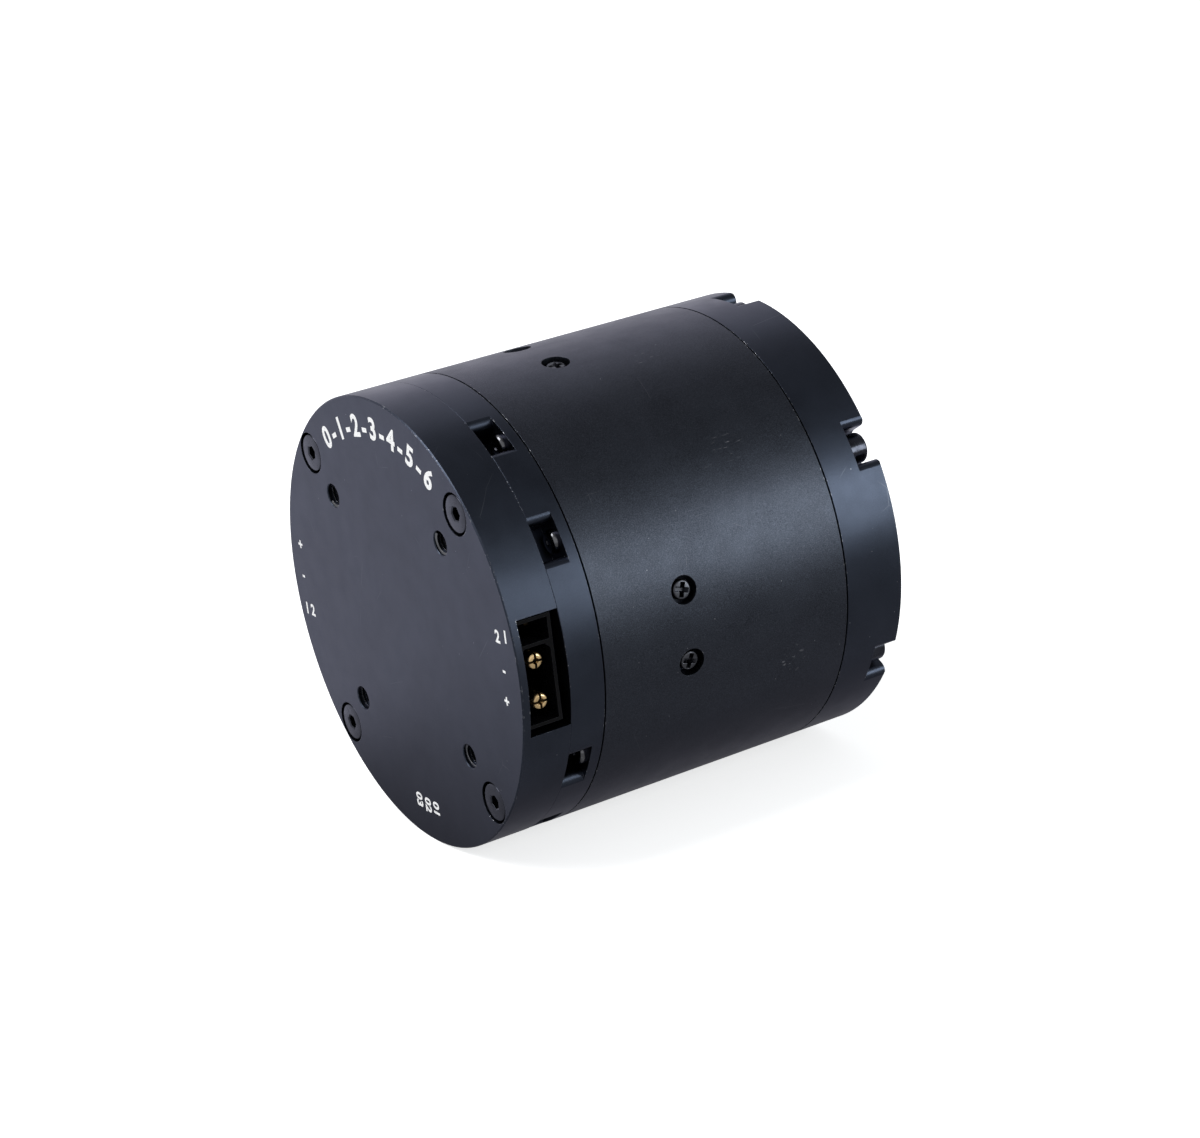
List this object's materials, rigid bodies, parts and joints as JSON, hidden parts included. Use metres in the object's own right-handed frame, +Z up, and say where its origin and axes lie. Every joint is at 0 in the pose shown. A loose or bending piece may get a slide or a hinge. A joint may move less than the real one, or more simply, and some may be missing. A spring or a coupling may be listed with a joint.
{
  "type": "robot joint actuator",
  "caption": "Geared robot joint actuator: round casing with rear sockets, motor, two planetary stages and a turning output flange.",
  "frame": {"origin": "centre of the rear mounting face, on the joint axis", "axes": "+X along the joint axis from the rear face to the output flange; +Z up; the front power socket faces -Y"},
  "size_m": [0.055, 0.057, 0.057],
  "materials": {
    "anodised_matt": "bead-blasted, black anodised",
    "anodised_satin": "turned, black anodised, satin",
    "black_oxide": "black oxide",
    "socket_plastic": "moulded, matt black",
    "gold_plate": "gold plated",
    "board": "dark solder mask",
    "chip": "moulded",
    "lamination": "stacked sheet",
    "copper": "enamelled wire",
    "magnet": "nickel plated",
    "steel": "turned",
    "gear_steel": "cut and ground",
    "bearing_steel": "ground",
    "seal_rubber": "moulded"
  },
  "bodies": {
    "housing": {"rear_cover": "anodised_satin", "cover_screws": "black_oxide", "rear_frame": "anodised_satin", "frame_screws": "black_oxide", "main_barrel": "anodised_matt", "side_screws": "black_oxide", "front_ring": "anodised_satin", "front_screws": "black_oxide", "power_socket_front": "socket_plastic", "power_socket_back": "socket_plastic", "power_pins": "gold_plate", "signal_pins": "gold_plate", "serial_socket": "socket_plastic", "serial_pins": "gold_plate", "driver_board": "board", "board_screws": "steel", "board_chips": "chip", "sensor_chip": "chip", "stator_core": "lamination", "stator_coils": "copper", "phase_leads": "copper", "rear_bearing_outer": "bearing_steel", "front_bearing_outer": "bearing_steel", "motor_plate": "anodised_satin", "ring_gear_1": "gear_steel", "ring_gear_2": "gear_steel", "output_bearing_outer": "bearing_steel", "output_seal": "seal_rubber"},
    "output": {"output_flange": "anodised_satin", "output_carrier": "steel", "planet_pins_2": "steel", "middle_bearing_outer": "bearing_steel", "output_bearing_inner": "bearing_steel", "flange_screws": "black_oxide"},
    "first_carrier": {"carrier_1": "steel", "planet_pins_1": "steel", "sun_gear_2": "gear_steel", "middle_bearing_inner": "bearing_steel"},
    "rotor": {"rotor_bell": "steel", "rotor_magnets": "magnet", "rotor_shaft": "steel", "sensor_magnet": "magnet", "rear_bearing_inner": "bearing_steel", "front_bearing_inner": "bearing_steel", "sun_pinion": "gear_steel"},
    "first_planet_1": {"planet_1_1": "gear_steel"},
    "first_planet_2": {"planet_1_2": "gear_steel"},
    "first_planet_3": {"planet_1_3": "gear_steel"},
    "second_planet_1": {"planet_2_1": "gear_steel"},
    "second_planet_2": {"planet_2_2": "gear_steel"},
    "second_planet_3": {"planet_2_3": "gear_steel"}
  },
  "joints": [
    {"name": "output_turn", "type": "hinge", "parent": "housing", "child": "output", "pos_m": [0.055, 0, 0], "axis": [1, 0, 0], "continuous": true},
    {"name": "first_carrier_turn", "type": "hinge", "parent": "housing", "child": "first_carrier", "pos_m": [0.03, 0, 0], "axis": [1, 0, 0], "continuous": true},
    {"name": "rotor_turn", "type": "hinge", "parent": "housing", "child": "rotor", "pos_m": [0.015, 0, 0], "axis": [1, 0, 0], "continuous": true},
    {"name": "first_planet_1_turn", "type": "hinge", "parent": "first_carrier", "child": "first_planet_1", "pos_m": [0.0275, 0, 0.012], "axis": [1, 0, 0], "continuous": true},
    {"name": "first_planet_2_turn", "type": "hinge", "parent": "first_carrier", "child": "first_planet_2", "pos_m": [0.0275, -0.01039, -0.006], "axis": [1, 0, 0], "continuous": true},
    {"name": "first_planet_3_turn", "type": "hinge", "parent": "first_carrier", "child": "first_planet_3", "pos_m": [0.0275, 0.01039, -0.006], "axis": [1, 0, 0], "continuous": true},
    {"name": "second_planet_1_turn", "type": "hinge", "parent": "output", "child": "second_planet_1", "pos_m": [0.036, 0, 0.012], "axis": [1, 0, 0], "continuous": true},
    {"name": "second_planet_2_turn", "type": "hinge", "parent": "output", "child": "second_planet_2", "pos_m": [0.036, -0.01039, -0.006], "axis": [1, 0, 0], "continuous": true},
    {"name": "second_planet_3_turn", "type": "hinge", "parent": "output", "child": "second_planet_3", "pos_m": [0.036, 0.01039, -0.006], "axis": [1, 0, 0], "continuous": true}
  ],
  "couplings": [
    {"joint": "first_carrier_turn", "follows": "output_turn", "ratio": 5},
    {"joint": "rotor_turn", "follows": "output_turn", "ratio": 40},
    {"joint": "first_planet_1_turn", "follows": "output_turn", "ratio": -11.667},
    {"joint": "first_planet_2_turn", "follows": "output_turn", "ratio": -11.667},
    {"joint": "first_planet_3_turn", "follows": "output_turn", "ratio": -11.667},
    {"joint": "second_planet_1_turn", "follows": "output_turn", "ratio": -2.6667},
    {"joint": "second_planet_2_turn", "follows": "output_turn", "ratio": -2.6667},
    {"joint": "second_planet_3_turn", "follows": "output_turn", "ratio": -2.6667}
  ]
}
